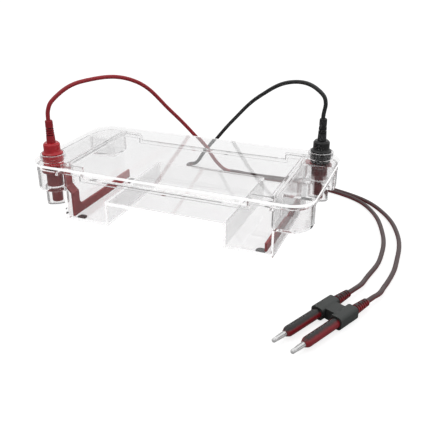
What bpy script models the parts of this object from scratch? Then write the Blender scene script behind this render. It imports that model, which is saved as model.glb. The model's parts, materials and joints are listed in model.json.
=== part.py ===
"""Gel electrophoresis tank: a clear buffer tank with a raised gel deck, a lift-off safety lid
with two plug-in leads, two drop-in electrodes and a twin 4 mm power plug.

Frame: origin at the middle of the gel deck's top face, +X along the tank's length towards the
black electrode, +Y towards its back, +Z up, metres. Heights below are measured from the table,
and the whole object is lowered onto its origin at the end. The red and the black side are the
same parts, turned half a turn about the vertical through the origin.
"""
import bmesh
import bpy
from math import cos, pi, radians, sin
from mathutils import Vector

GAP = 0.0003                 # clearance left between neighbouring pieces
JOIN = 0.001                 # how far shapes that are joined into one solid reach into each other
BEYOND = 0.01                # how far a cutting shape reaches past what it cuts

# ---- tank ----
DECK_HALF = 0.0684           # half length of the tunnel under the gel deck
DECK_UNDER_Z = 0.0268
DECK_TOP_Z = 0.0300
WELL_WALL = 0.0027           # thickness of floors and end walls
SIDE_WALL = 0.0025           # thickness of the long walls
TANK_HALF_X = 0.1225
TANK_HALF_Y = 0.0663
FLOOR_UNDER_Z = 0.0015
RIM_Z = 0.061                # top of the end flange
LOW_RIM_Z = 0.0548           # top of the lowered middle of the long rims
LOW_RIM_HALF = 0.095         # half length of that lowered middle
RIM_HALF_Y = 0.0704          # reach of the long rims
FLANGE = 0.0035              # thickness of every flange of the tank
END_HALF_X = 0.158           # reach of the end flange, and its half width and corner radius
END_HALF_Y = 0.0775
END_CORNER = 0.0225
BEAD_Z = 0.0644              # top of the raised end walls, which carry the lid
POD_INSET = 0.0003           # the corner pods stand this far inside the end flange
POD_UNDER_Z = 0.037
POD_WALL = 0.0025
POD_INNER_Y = 0.043
POD_SMALL_CORNER = 0.004
SLOT_Y0, SLOT_Y1 = -0.0645, -0.0500    # slot in the end wall that lets the electrode arm out
SLOT_Z = 0.0345

# ---- connector axis, red side ----
PLUG_X, PLUG_Y = -0.1370, -0.059
CUP_R = 0.0118               # clear cup under a pod, round the barrel of the socket holder
CUP_BORE_R = 0.0094
CUP_UNDER_Z = 0.0173
CUP_FLOOR_Z = 0.0197
HOLDER_BARREL_R = 0.0060
HOLDER_NECK_R = 0.0088       # wide neck between the barrel and the funnel
HOLDER_NECK_Z0, HOLDER_NECK_Z1 = 0.0375, 0.0535
HOLDER_MOUTH_R = 0.0133
HOLDER_MOUTH_Z, HOLDER_TOP_Z = 0.0556, 0.0583
HOLDER_WALL = 0.0020
HOLDER_SEAT_Z = 0.042        # floor of the funnel, where the contact pin's flange sits
CONTACT_R = 0.0020
CONTACT_FLANGE_R, CONTACT_FLANGE_TOP_Z = 0.0045, 0.0440
CONTACT_TIP_Z = 0.0622
NUT_ACROSS_CORNERS = 0.00808
NUT_HEIGHT = 0.0032
NUT_Z = 0.0227               # middle of the nut
NUT_POCKET_R = 0.0047

# ---- feet ----
FOOT_X, FOOT_Y = 0.107, 0.057
FOOT_R, FOOT_BEVEL = 0.0055, 0.0004

# ---- electrode ----
ARM_X0, ARM_X1 = -0.1150, -0.1124      # the flat arm where it hangs in the well
ARM_Y0, ARM_Y1 = -0.0629, -0.0504
ARM_FOOT_Z = 0.0048
ARM_BEND_Z = 0.0325          # here the arm starts to lean out over the end wall
ARM_LEAN_X, ARM_LEAN_Z = -0.0074, 0.0078
ARM_TOP_Z = 0.0604
TAB_THICK = 0.0018
TAB_REACH = 0.0080
STRIP_END_Y = 0.0625
STRIP_Z0, STRIP_Z1 = 0.0050, 0.0148
STRIP_GUSSET = 0.0045
WIRE_R = 0.00025
WIRE_Z = 0.0053
WIRE_END_RISE = 0.004        # each end of the wire is bent up this far

# ---- lid ----
LID_HALF_X, LID_HALF_Y = 0.1595, 0.079
LID_CORNER = 0.024
LID_UNDER_Z, LID_TOP_Z = 0.0647, 0.0677
RIB_X0, RIB_X1 = 0.1165, 0.1190
RIB_HALF_Y = 0.060
RIB_Z = 0.061
LID_HOLE_R = 0.006
LID_RING_FOOT_R, LID_RING_R = 0.0131, 0.0139   # clear ring on the lid round each collar, and its rim
LID_RING_STEP_Z, LID_RING_TOP_Z = 0.0702, 0.0756

# ---- lid plugs ----
COLLAR_R, COLLAR_TOP_Z = 0.0115, 0.0757
COLLAR_BEVEL = 0.0005
SPIGOT_R = 0.0055
SPIGOT_Z = 0.0595
BODY_FLANGE_R, BODY_FLANGE_TOP_Z = 0.0117, 0.0768
BODY_R, BODY_TOP_R = 0.0091, 0.0075
BODY_WAIST_Z = 0.0796
BODY_SHOULDER_Z, BODY_TOP_Z = 0.0868, 0.0884
SLEEVE_R, SLEEVE_BORE_R = 0.0035, 0.0024
SLEEVE_Z0, SLEEVE_Z1 = 0.046, 0.0710
BOOT_R0, BOOT_R1 = 0.0049, 0.0040
BOOT_TOP_Z = 0.113
BOOT_PLAIN = 0.0078          # plain length below the ribs
BOOT_HEAD = 0.0072           # plain length above the ribs
BOOT_LIP = 0.0010            # rounded lip round the top
BOOT_RIBS = 4
RIB_DEPTH = 0.0006
LOCK_NUT_R, LOCK_NUT_Z = 0.011, 0.0610

# ---- leads ----
LEAD_R = 0.0023
LEAD_BORE_R = 0.0026
LEAD_START_Z = 0.0905
TABLE_Z = LEAD_R + GAP / 2
HANDLE_SHARE = 0.38          # curve handles, as a share of the distance to the next point
LEAD_RUN_IN, LEAD_IN_GRIP = 0.012, 0.010       # straight lengths before and inside a banana plug

# ---- twin power plug ----
PIN_PITCH = 0.0192
AXIS_Z = 0.0062
PLUG_HEADING = radians(245.3)          # the way the pins point, from +X towards +Y
BLOCK_X, BLOCK_Y = 0.2005, -0.1445     # middle of the block that holds the two plugs
BLOCK_HALF = 0.0120
BLOCK_BARREL_R = 0.0060
BLOCK_CORNER = 0.0035
BRIDGE_INSET, BRIDGE_SHORTER = 0.001, 0.0045   # the bridge is thinner and shorter than the barrels
GRIP_R = 0.0046
GRIP_FRONT = 0.0532                    # shroud end, along the pins from the block's middle
GRIP_NOSE = 0.0036           # length of the chamfered nose of the shroud
GRIP_NOSE_SET = 0.0018       # how far the nose is set in
POCKET = 0.012               # depth of the pocket round the pin
GRIP_BACK = -0.0120
RELIEF_LENGTH = 0.0204
RELIEF_R0, RELIEF_R1 = 0.0047, 0.0036
LEAD_HOLE = 0.014            # depth of the hole for the lead
RELIEF_RIBS = 5
PIN_R = 0.0014
PIN_TIP = 0.0679
PIN_TAPER = 0.0015
PIN_HEAD = 0.003             # length of the wide foot of the pin
CAGE_R = 0.0021
CAGE_BULGE, CAGE_BULGE_HALF = 0.0002, 0.002    # rise and half length of the cage's bowed middle


# ------------------------------------------------------------------ materials

def material(name, colour, roughness, metallic=0.0, alpha=1.0):
    made = bpy.data.materials.get(name) or bpy.data.materials.new(name)
    made.use_nodes = True
    shader = made.node_tree.nodes["Principled BSDF"]
    shader.inputs["Base Color"].default_value = (*colour, 1.0)
    shader.inputs["Roughness"].default_value = roughness
    shader.inputs["Metallic"].default_value = metallic
    shader.inputs["Alpha"].default_value = alpha
    return made


def clear_acrylic():
    return material("clear_acrylic", (0.92, 0.93, 0.93), 0.03, alpha=0.3)


def red_plastic():
    return material("red_plastic", (0.50, 0.03, 0.04), 0.25)


def maroon_plastic():
    return material("maroon_plastic", (0.16, 0.02, 0.025), 0.3)


def black_plastic():
    return material("black_plastic", (0.012, 0.012, 0.012), 0.3)


def dark_electrode_plastic():
    return material("dark_electrode_plastic", (0.05, 0.02, 0.02), 0.3)


def grey_plastic():
    return material("grey_plastic", (0.03, 0.034, 0.03), 0.4)


def foot_rubber():
    return material("foot_rubber", (0.03, 0.03, 0.03), 0.8)


def nickel():
    return material("nickel", (0.75, 0.75, 0.76), 0.2, metallic=1.0)


def gold():
    return material("gold", (0.83, 0.62, 0.25), 0.2, metallic=1.0)


def platinum():
    return material("platinum", (0.8, 0.8, 0.79), 0.25, metallic=1.0)


# ------------------------------------------------------------------ modelling helpers

def new_object(name, bm, colour, smooth_angle=None):
    """One mesh object from a bmesh, shaded smooth below the given angle."""
    bmesh.ops.recalc_face_normals(bm, faces=bm.faces)
    mesh = bpy.data.meshes.new(name)
    bm.to_mesh(mesh)
    bm.free()
    if smooth_angle:
        mesh.shade_smooth()
        mesh.set_sharp_from_angle(angle=smooth_angle)
    if colour:
        mesh.materials.append(colour)
    made = bpy.data.objects.new(name, mesh)
    bpy.context.scene.collection.objects.link(made)
    return made


def prism(name, outline, direction, colour=None, smooth_angle=None):
    """A flat outline of 3D points, extruded along a direction."""
    bm = bmesh.new()
    base = bm.faces.new([bm.verts.new(point) for point in outline])
    extruded = bmesh.ops.extrude_face_region(bm, geom=[base])
    moved = [item for item in extruded["geom"] if isinstance(item, bmesh.types.BMVert)]
    bmesh.ops.translate(bm, verts=moved, vec=direction)
    return new_object(name, bm, colour, smooth_angle)


def box(name, low, high, colour=None):
    bm = bmesh.new()
    size = [b - a for a, b in zip(low, high)]
    middle = [(a + b) / 2 for a, b in zip(low, high)]
    bmesh.ops.create_cube(bm, size=1.0)
    bmesh.ops.scale(bm, vec=size, verts=bm.verts)
    bmesh.ops.translate(bm, vec=middle, verts=bm.verts)
    return new_object(name, bm, colour)


def turned(name, profile, colour, segments=24, smooth_angle=radians(35)):
    """A ring or a solid turned about the local Z axis from a closed (radius, height) profile."""
    bm = bmesh.new()
    ring = [bm.verts.new((radius, 0.0, height)) for radius, height in profile]
    edges = [bm.edges.new((a, b)) for a, b in zip(ring, ring[1:])]
    if profile[0][0] > 0 or profile[-1][0] > 0:
        edges.append(bm.edges.new((ring[-1], ring[0])))
    bmesh.ops.spin(bm, geom=ring + edges, cent=(0, 0, 0), axis=(0, 0, 1), angle=2 * pi,
                   steps=segments, use_merge=True)
    bmesh.ops.remove_doubles(bm, verts=bm.verts, dist=1e-6)
    return new_object(name, bm, colour, smooth_angle)


def cylinder(name, centre, radius, z0, z1, colour=None, segments=32):
    bm = bmesh.new()
    bmesh.ops.create_cone(bm, cap_ends=True, segments=segments, radius1=radius, radius2=radius,
                          depth=z1 - z0)
    bmesh.ops.translate(bm, vec=(centre[0], centre[1], (z0 + z1) / 2), verts=bm.verts)
    return new_object(name, bm, colour, radians(35))


def boolean(target, tool, operation):
    """Join or cut with another object, which is then only a guide."""
    step = target.modifiers.new(tool.name, "BOOLEAN")
    step.operation = operation
    step.object = tool
    tool.hide_render = True
    tool.display_type = "WIRE"


def arc(centre, radius, start, end, steps):
    return [(centre[0] + radius * cos(start + (end - start) * i / steps),
             centre[1] + radius * sin(start + (end - start) * i / steps))
            for i in range(steps + 1)]


def rounded_rectangle(low, high, corners, steps=6):
    """Counter-clockwise outline; corners are the radii at -x-y, +x-y, +x+y and -x+y."""
    places = [(low[0], low[1], 1, 1), (high[0], low[1], -1, 1),
              (high[0], high[1], -1, -1), (low[0], high[1], 1, -1)]
    outline = []
    for index, ((x, y, sx, sy), radius) in enumerate(zip(places, corners)):
        start = pi + index * pi / 2
        centre = (x + sx * radius, y + sy * radius)
        outline += arc(centre, radius, start, start + pi / 2, steps)
    return outline


def slab(name, outline, z0, z1, colour=None, smooth_angle=None):
    points = [(x, y, z0) for x, y in outline]
    return prism(name, points, (0, 0, z1 - z0), colour, smooth_angle)


def section_along_y(name, section, half_y, colour=None):
    """A closed (x, z) section, extruded from -half_y to +half_y."""
    points = [(x, -half_y, z) for x, z in section]
    return prism(name, points, (0, 2 * half_y, 0), colour)


# ------------------------------------------------------------------ tank

def basin_section():
    """Outside of the tank seen from the front: two wells joined by the raised gel deck."""
    return [(-TANK_HALF_X, FLOOR_UNDER_Z), (-DECK_HALF, FLOOR_UNDER_Z), (-DECK_HALF, DECK_UNDER_Z),
            (DECK_HALF, DECK_UNDER_Z), (DECK_HALF, FLOOR_UNDER_Z), (TANK_HALF_X, FLOOR_UNDER_Z),
            (TANK_HALF_X, BEAD_Z), (-TANK_HALF_X, BEAD_Z)]


def buffer_section():
    """The buffer's space: both wells and the room over the deck."""
    outer = TANK_HALF_X - WELL_WALL
    inner = DECK_HALF + WELL_WALL
    floor = FLOOR_UNDER_Z + WELL_WALL
    above = BEAD_Z + BEYOND
    return [(-outer, floor), (-inner, floor), (-inner, DECK_TOP_Z), (inner, DECK_TOP_Z),
            (inner, floor), (outer, floor), (outer, above), (-outer, above)]


def pod_outline(side_x, side_y, inset):
    """A corner pod seen from above, on the corner of the tank named by the two signs."""
    reach_x = END_HALF_X - POD_INSET - inset
    reach_y = END_HALF_Y - POD_INSET - inset
    inner_x = TANK_HALF_X - JOIN + (inset and JOIN + GAP)
    inner_y = POD_INNER_Y + inset
    big = END_CORNER - POD_INSET - inset
    small = POD_SMALL_CORNER - inset / 2
    low = (min(side_x * inner_x, side_x * reach_x), min(side_y * inner_y, side_y * reach_y))
    high = (max(side_x * inner_x, side_x * reach_x), max(side_y * inner_y, side_y * reach_y))
    corners = [small] * 4
    corners[{(-1, -1): 0, (1, -1): 1, (1, 1): 2, (-1, 1): 3}[side_x, side_y]] = big
    return rounded_rectangle(low, high, corners)


def build_tank_base():
    clear = clear_acrylic()
    tank = section_along_y("tank_base", basin_section(), TANK_HALF_Y, clear)
    flange_z = RIM_Z - FLANGE
    plate = slab("end_flange_guide",
                 rounded_rectangle((-END_HALF_X, -END_HALF_Y), (END_HALF_X, END_HALF_Y),
                                   [END_CORNER] * 4), flange_z, RIM_Z)
    for side in (-1, 1):
        beside = sorted((side * RIM_HALF_Y, side * (END_HALF_Y + BEYOND)))
        boolean(plate, box(f"flange_trim_{side}", (-TANK_HALF_X + 0.0025, beside[0], flange_z - BEYOND),
                           (TANK_HALF_X - 0.0025, beside[1], RIM_Z + BEYOND)), "DIFFERENCE")
    boolean(tank, plate, "UNION")
    boolean(tank, box("low_rim_guide", (-LOW_RIM_HALF - 0.002, -RIM_HALF_Y, LOW_RIM_Z - FLANGE),
                      (LOW_RIM_HALF + 0.002, RIM_HALF_Y, RIM_Z - JOIN)), "UNION")
    for side_x in (-1, 1):
        for side_y in (-1, 1):
            boolean(tank, slab(f"pod_guide_{side_x}_{side_y}", pod_outline(side_x, side_y, 0.0),
                               POD_UNDER_Z, RIM_Z - JOIN), "UNION")
        cup = (side_x * -PLUG_X, side_x * -PLUG_Y)
        boolean(tank, cylinder(f"cup_guide_{side_x}", cup, CUP_R, CUP_UNDER_Z,
                               POD_UNDER_Z + JOIN), "UNION")
    cut_tank(tank)
    return tank


def cut_tank(tank):
    """Everything that is hollow: buffer space, finger gaps, pods, cups and electrode slots."""
    high = BEAD_Z + BEYOND
    boolean(tank, section_along_y("buffer_cutter", buffer_section(), TANK_HALF_Y - SIDE_WALL),
            "DIFFERENCE")
    boolean(tank, box("finger_gap_cutter", (-LOW_RIM_HALF, -RIM_HALF_Y - BEYOND, LOW_RIM_Z),
                      (LOW_RIM_HALF, RIM_HALF_Y + BEYOND, high)), "DIFFERENCE")
    for side_x in (-1, 1):
        for side_y in (-1, 1):
            boolean(tank, slab(f"pod_cutter_{side_x}_{side_y}", pod_outline(side_x, side_y, POD_WALL),
                               POD_UNDER_Z + POD_WALL, high), "DIFFERENCE")
        cup = (side_x * -PLUG_X, side_x * -PLUG_Y)
        boolean(tank, cylinder(f"cup_cutter_{side_x}", cup, CUP_BORE_R, CUP_FLOOR_Z, high),
                "DIFFERENCE")
        slot_y = sorted((-side_x * SLOT_Y0, -side_x * SLOT_Y1))
        slot_x = sorted((side_x * (TANK_HALF_X - WELL_WALL - JOIN), side_x * (TANK_HALF_X + 0.002)))
        boolean(tank, box(f"slot_cutter_{side_x}", (slot_x[0], slot_y[0], SLOT_Z),
                          (slot_x[1], slot_y[1], high)), "DIFFERENCE")


def build_feet():
    places = {"front_left": (-1, -1), "front_right": (1, -1), "back_right": (1, 1), "back_left": (-1, 1)}
    top = FLOOR_UNDER_Z - GAP
    profile = [(0.0, 0.0), (FOOT_R - FOOT_BEVEL, 0.0), (FOOT_R, FOOT_BEVEL), (FOOT_R, top), (0.0, top)]
    for name, (side_x, side_y) in places.items():
        foot = turned(f"foot_{name}", profile, foot_rubber(), segments=20)
        foot.location = (side_x * FOOT_X, side_y * FOOT_Y, 0.0)


# ------------------------------------------------------------------ electrodes and sockets

def side_root(name, half_turn):
    """Empty at the origin that carries one side's parts; the black side is turned half a turn."""
    root = bpy.data.objects.new(name, None)
    root.rotation_euler = (0.0, 0.0, pi if half_turn else 0.0)
    bpy.context.scene.collection.objects.link(root)
    return root


def on_plug_axis(made, root):
    made.location = (PLUG_X, PLUG_Y, 0.0)
    made.parent = root


def build_electrode_arm(name, colour, root):
    """Flat strip in the well with an arm that rises, leans out over the wall and ends in a tab."""
    outline = [(ARM_Y0, ARM_FOOT_Z), (ARM_Y1, ARM_FOOT_Z), (ARM_Y1 + STRIP_GUSSET, STRIP_Z0),
               (STRIP_END_Y, STRIP_Z0), (STRIP_END_Y, STRIP_Z1), (ARM_Y1 + STRIP_GUSSET, STRIP_Z1),
               (ARM_Y1, STRIP_Z1 + STRIP_GUSSET), (ARM_Y1, ARM_BEND_Z), (ARM_Y0, ARM_BEND_Z)]
    bm = bmesh.new()
    base = bm.faces.new([bm.verts.new((ARM_X0, y, z)) for y, z in outline])
    pushed = bmesh.ops.extrude_face_region(bm, geom=[base])
    moved = [item for item in pushed["geom"] if isinstance(item, bmesh.types.BMVert)]
    bmesh.ops.translate(bm, verts=moved, vec=(ARM_X1 - ARM_X0, 0, 0))
    bmesh.ops.recalc_face_normals(bm, faces=bm.faces)
    top = max(bm.faces, key=lambda face: face.calc_center_median().z)
    upright = ARM_TOP_Z - TAB_THICK - ARM_BEND_Z - ARM_LEAN_Z
    for offset in ((ARM_LEAN_X, 0, ARM_LEAN_Z), (0, 0, upright), (0, 0, TAB_THICK)):
        top = push_face(bm, top, offset)
    bmesh.ops.recalc_face_normals(bm, faces=bm.faces)
    tab = min(bm.faces, key=lambda face: (face.calc_center_median()
                                          - Vector((-1.0, ARM_Y0, ARM_TOP_Z))).length
              if face.calc_center_median().z > ARM_TOP_Z - TAB_THICK else 9.0)
    push_face(bm, tab, (-TAB_REACH, 0, 0))
    arm = new_object(name, bm, colour)
    arm.parent = root
    return arm


def push_face(bm, face, offset):
    """Extrude one face and move the new face by the offset."""
    pushed = bmesh.ops.extrude_face_region(bm, geom=[face])
    bmesh.ops.delete(bm, geom=[face], context="FACES_ONLY")
    moved = [item for item in pushed["geom"] if isinstance(item, bmesh.types.BMVert)]
    bmesh.ops.translate(bm, verts=moved, vec=offset)
    return next(item for item in pushed["geom"] if isinstance(item, bmesh.types.BMFace))


def build_platinum_wire(name, root):
    """Bare wire stretched along the foot of the strip, each end bent up beside it."""
    curve = bpy.data.curves.new(name, "CURVE")
    curve.dimensions = "3D"
    curve.bevel_depth = WIRE_R
    curve.bevel_resolution = 1
    curve.use_fill_caps = True
    curve.resolution_u = 1
    spline = curve.splines.new("POLY")
    beside = ARM_X1 + GAP + WIRE_R
    ends = (ARM_Y1 + 0.008, STRIP_END_Y - 0.003)
    points = [(beside, ends[0], WIRE_Z + WIRE_END_RISE), (beside, ends[0], WIRE_Z),
              (beside, ends[1], WIRE_Z), (beside, ends[1], WIRE_Z + WIRE_END_RISE)]
    spline.points.add(len(points) - 1)
    for point, place in zip(spline.points, points):
        point.co = (*place, 1.0)
    wire = bpy.data.objects.new(name, curve)
    wire.data.materials.append(platinum())
    bpy.context.scene.collection.objects.link(wire)
    wire.parent = root
    return wire


def build_socket_holder(name, colour, root):
    """Funnel in the pod with a long barrel below it, bored for the contact pin and its nut."""
    barrel_z = CUP_FLOOR_Z + GAP
    inner = HOLDER_NECK_R - HOLDER_WALL
    bore = CONTACT_R + GAP
    pocket_z = NUT_Z + NUT_HEIGHT / 2 + GAP
    profile = [(NUT_POCKET_R, barrel_z), (HOLDER_BARREL_R, barrel_z),
               (HOLDER_BARREL_R, HOLDER_NECK_Z0 - JOIN), (HOLDER_NECK_R, HOLDER_NECK_Z0),
               (HOLDER_NECK_R, HOLDER_NECK_Z1), (HOLDER_MOUTH_R, HOLDER_MOUTH_Z),
               (HOLDER_MOUTH_R, HOLDER_TOP_Z), (HOLDER_MOUTH_R - HOLDER_WALL, HOLDER_TOP_Z),
               (inner, HOLDER_NECK_Z1 + HOLDER_WALL), (inner, HOLDER_SEAT_Z), (bore, HOLDER_SEAT_Z),
               (bore, pocket_z), (NUT_POCKET_R, pocket_z)]
    on_plug_axis(turned(name, profile, colour), root)


def build_contact_pin(name, root):
    """Pin with a rounded tip, a flange on the holder's floor and a threaded tail."""
    tail = NUT_Z - NUT_HEIGHT / 2 - 0.0005
    seat = HOLDER_SEAT_Z + GAP
    profile = [(0.0, tail), (CONTACT_R, tail), (CONTACT_R, seat), (CONTACT_FLANGE_R, seat),
               (CONTACT_FLANGE_R, CONTACT_FLANGE_TOP_Z), (CONTACT_R, CONTACT_FLANGE_TOP_Z),
               (CONTACT_R, CONTACT_TIP_Z - CONTACT_R), (CONTACT_R * 0.7, CONTACT_TIP_Z - CONTACT_R * 0.3),
               (0.0, CONTACT_TIP_Z)]
    on_plug_axis(turned(name, profile, gold(), segments=16), root)


def build_pin_nut(name, root):
    """Hexagon nut on the pin's tail, sunk in the end of the barrel."""
    bm = bmesh.new()
    bmesh.ops.create_cone(bm, cap_ends=True, segments=6, radius1=NUT_ACROSS_CORNERS / 2,
                          radius2=NUT_ACROSS_CORNERS / 2, depth=NUT_HEIGHT)
    nut = new_object(name, bm, nickel())
    bore = cylinder(f"{name}_bore", (0, 0), CONTACT_R + GAP, -NUT_HEIGHT, NUT_HEIGHT, segments=16)
    boolean(nut, bore, "DIFFERENCE")
    for made in (nut, bore):
        on_plug_axis(made, root)
        made.location.z = NUT_Z


# ------------------------------------------------------------------ lid

def build_lid_shell():
    """Flat lid with a rounded outline, two locating ribs, and a ring and a hole for each plug."""
    lid = slab("lid_shell", rounded_rectangle((-LID_HALF_X, -LID_HALF_Y), (LID_HALF_X, LID_HALF_Y),
                                              [LID_CORNER] * 4, steps=10),
               LID_UNDER_Z, LID_TOP_Z, clear_acrylic(), radians(25))
    for side in (-1, 1):
        across = sorted((side * RIB_X0, side * RIB_X1))
        boolean(lid, box(f"lid_rib_guide_{side}", (across[0], -RIB_HALF_Y, RIB_Z),
                         (across[1], RIB_HALF_Y, LID_TOP_Z - JOIN)), "UNION")
        plug = (side * -PLUG_X, side * -PLUG_Y)
        boolean(lid, build_lid_ring(side, plug), "UNION")
        boolean(lid, cylinder(f"lid_hole_cutter_{side}", plug, LID_HOLE_R, LID_UNDER_Z - BEYOND,
                              LID_RING_TOP_Z + BEYOND), "DIFFERENCE")
    return lid


def build_lid_ring(side, plug):
    """Open ring that stands on the lid round a plug's collar, with a wider rim."""
    foot, step = LID_TOP_Z - JOIN, LID_RING_STEP_Z
    bore = COLLAR_R + GAP
    profile = [(bore, foot), (LID_RING_FOOT_R, foot), (LID_RING_FOOT_R, step), (LID_RING_R, step),
               (LID_RING_R, LID_RING_TOP_Z), (bore, LID_RING_TOP_Z)]
    ring = turned(f"lid_ring_guide_{side}", profile, None, segments=40)
    ring.location = (*plug, 0.0)
    return ring


def build_lid_plug(side, body_colour, boot_colour, root):
    """Collar, body, boot, socket sleeve and lock nut of one plug that is fixed in the lid."""
    collar_z = LID_TOP_Z + GAP
    collar = [(SPIGOT_R + GAP, collar_z), (COLLAR_R, collar_z),
              (COLLAR_R, COLLAR_TOP_Z - COLLAR_BEVEL), (COLLAR_R - COLLAR_BEVEL, COLLAR_TOP_Z),
              (SPIGOT_R + GAP, COLLAR_TOP_Z)]
    on_plug_axis(turned(f"{side}_collar", collar, body_colour, segments=32), root)
    low = COLLAR_TOP_Z + GAP
    bore = SLEEVE_R + GAP
    body = [(bore, SPIGOT_Z), (SPIGOT_R, SPIGOT_Z), (SPIGOT_R, low), (BODY_FLANGE_R, low),
            (BODY_FLANGE_R, BODY_FLANGE_TOP_Z), (BODY_R, BODY_WAIST_Z)]
    shoulder = BODY_TOP_Z - BODY_SHOULDER_Z
    body += [(BODY_R - (BODY_R - BODY_TOP_R) * (1 - cos(turn)), BODY_SHOULDER_Z + shoulder * sin(turn))
             for turn in (0.0, pi / 6, pi / 3, pi / 2)]
    body += [(0.0, BODY_TOP_Z), (0.0, SLEEVE_Z1 + GAP), (bore, SLEEVE_Z1 + GAP)]
    on_plug_axis(turned(f"{side}_plug_body", closed_at_axis(body), body_colour, segments=28), root)
    on_plug_axis(turned(f"{side}_boot", boot_profile(), boot_colour), root)
    sleeve = [(SLEEVE_BORE_R, SLEEVE_Z0), (SLEEVE_R, SLEEVE_Z0), (SLEEVE_R, SLEEVE_Z1),
              (SLEEVE_BORE_R, SLEEVE_Z1)]
    on_plug_axis(turned(f"{side}_socket_sleeve", sleeve, nickel(), segments=16), root)
    nut_top = LID_UNDER_Z - GAP
    nut = [(SPIGOT_R + GAP, LOCK_NUT_Z), (LOCK_NUT_R, LOCK_NUT_Z), (LOCK_NUT_R, nut_top),
           (SPIGOT_R + GAP, nut_top)]
    on_plug_axis(turned(f"{side}_lock_nut", nut, body_colour, segments=24), root)


def closed_at_axis(profile):
    """Rotate a profile that touches the axis, so that it starts and ends on it."""
    starts = [i for i, (radius, _) in enumerate(profile) if radius == 0.0]
    first = starts[-1]
    return profile[first:] + profile[:first]


def boot_profile():
    """Tapered boot with shallow ribs round its middle and a bore for the lead."""
    low = BODY_TOP_Z + GAP
    profile = [(LEAD_BORE_R, low), (BOOT_R0, low)]
    ribs_z0, ribs_z1 = low + BOOT_PLAIN, BOOT_TOP_Z - BOOT_HEAD
    pitch = (ribs_z1 - ribs_z0) / BOOT_RIBS
    taper = (BOOT_R0 - BOOT_R1) / (BOOT_TOP_Z - low)
    for index in range(BOOT_RIBS):
        z = ribs_z0 + pitch * index
        radius = BOOT_R0 - taper * (z - low)
        profile += [(radius, z), (radius - RIB_DEPTH, z + pitch * 0.3),
                    (radius - RIB_DEPTH, z + pitch * 0.6)]
    return profile + [(BOOT_R0 - taper * (ribs_z1 - low), ribs_z1), (BOOT_R1, BOOT_TOP_Z - BOOT_LIP),
                      (BOOT_R1 - RIB_DEPTH, BOOT_TOP_Z), (LEAD_BORE_R, BOOT_TOP_Z)]


# ------------------------------------------------------------------ twin power plug

def plug_root():
    """Empty at the middle of the block; its local Z axis points the way the pins point."""
    root = bpy.data.objects.new("power_plug_root", None)
    root.location = (BLOCK_X, BLOCK_Y, AXIS_Z)
    root.rotation_euler = (0.0, radians(90), PLUG_HEADING)
    bpy.context.scene.collection.objects.link(root)
    return root


def build_plug_block(root):
    """Two round-cornered barrels side by side, joined by a bridge that is shorter than they are."""
    half = BLOCK_BARREL_R
    block = None
    for side in (-1, 1):
        low = (-half, side * PIN_PITCH / 2 - half)
        high = (half, side * PIN_PITCH / 2 + half)
        barrel = slab(f"plug_block_{side}" if block else "plug_block",
                      rounded_rectangle(low, high, [BLOCK_CORNER] * 4, steps=4), -BLOCK_HALF, BLOCK_HALF,
                      grey_plastic(), radians(40))
        barrel.parent = root
        if block:
            boolean(block, barrel, "UNION")
        else:
            block = barrel
    thin = half - BRIDGE_INSET
    short = BLOCK_HALF - BRIDGE_SHORTER
    bridge = box("plug_bridge_guide", (-thin, -PIN_PITCH / 2, -short), (thin, PIN_PITCH / 2, short))
    bridge.parent = root
    boolean(block, bridge, "UNION")
    for side in (-1, 1):
        bore = cylinder(f"plug_bore_{side}", (0, side * PIN_PITCH / 2), GRIP_R + GAP,
                        -2 * BLOCK_HALF, 2 * BLOCK_HALF, segments=24)
        bore.parent = root
        boolean(block, bore, "DIFFERENCE")


def grip_profile():
    """Ribbed strain relief, plain barrel and shroud, with bores for the lead and for the pin."""
    back = GRIP_BACK - RELIEF_LENGTH
    profile = [(LEAD_BORE_R, back)]
    pitch = (RELIEF_LENGTH - 0.002) / RELIEF_RIBS
    for index in range(RELIEF_RIBS):
        z = back + pitch * index
        radius = RELIEF_R1 + (RELIEF_R0 - RELIEF_R1) * (index + 0.5) / RELIEF_RIBS
        profile += [(radius, z), (radius, z + pitch * 0.5), (radius - RIB_DEPTH / 2, z + pitch * 0.6)]
    front = GRIP_FRONT
    pocket_r = CAGE_R + GAP
    return profile + [(GRIP_R, GRIP_BACK - JOIN), (GRIP_R, front - GRIP_NOSE),
                      (GRIP_R - GRIP_NOSE_SET, front), (pocket_r, front), (pocket_r, front - POCKET),
                      (0.0, front - POCKET), (0.0, back + LEAD_HOLE), (LEAD_BORE_R, back + LEAD_HOLE)]


def build_banana_plug(side, place, colour, root):
    """Grip, solid core pin and sprung contact cage of one 4 mm plug."""
    base = GRIP_FRONT - POCKET + GAP
    step = base + PIN_HEAD
    core = [(0.0, base), (CAGE_R, base), (CAGE_R, step), (PIN_R, step),
            (PIN_R, PIN_TIP - PIN_TAPER), (PIN_R * 0.6, PIN_TIP), (0.0, PIN_TIP)]
    inside = PIN_R + GAP
    z0, z1 = step + 2 * GAP, PIN_TIP - PIN_TAPER - GAP
    bulge = (z0 + z1) / 2 + CAGE_BULGE_HALF
    wide, narrow = CAGE_R + CAGE_BULGE, CAGE_R - CAGE_BULGE / 2
    cage = [(inside, z0), (narrow, z0), (narrow, bulge - 2 * CAGE_BULGE_HALF),
            (wide, bulge - CAGE_BULGE_HALF), (wide, bulge + CAGE_BULGE_HALF), (narrow, z1), (inside, z1)]
    for name, made in ((f"{side}_banana_grip",
                        turned(f"{side}_banana_grip", closed_at_axis(grip_profile()), colour)),
                       (f"{side}_banana_pin", turned(f"{side}_banana_pin", core, nickel(), segments=14)),
                       (f"{side}_banana_cage", turned(f"{side}_banana_cage", cage, nickel(), segments=16))):
        made.location = (0.0, place * PIN_PITCH / 2, 0.0)
        made.parent = root


# ------------------------------------------------------------------ leads

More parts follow.
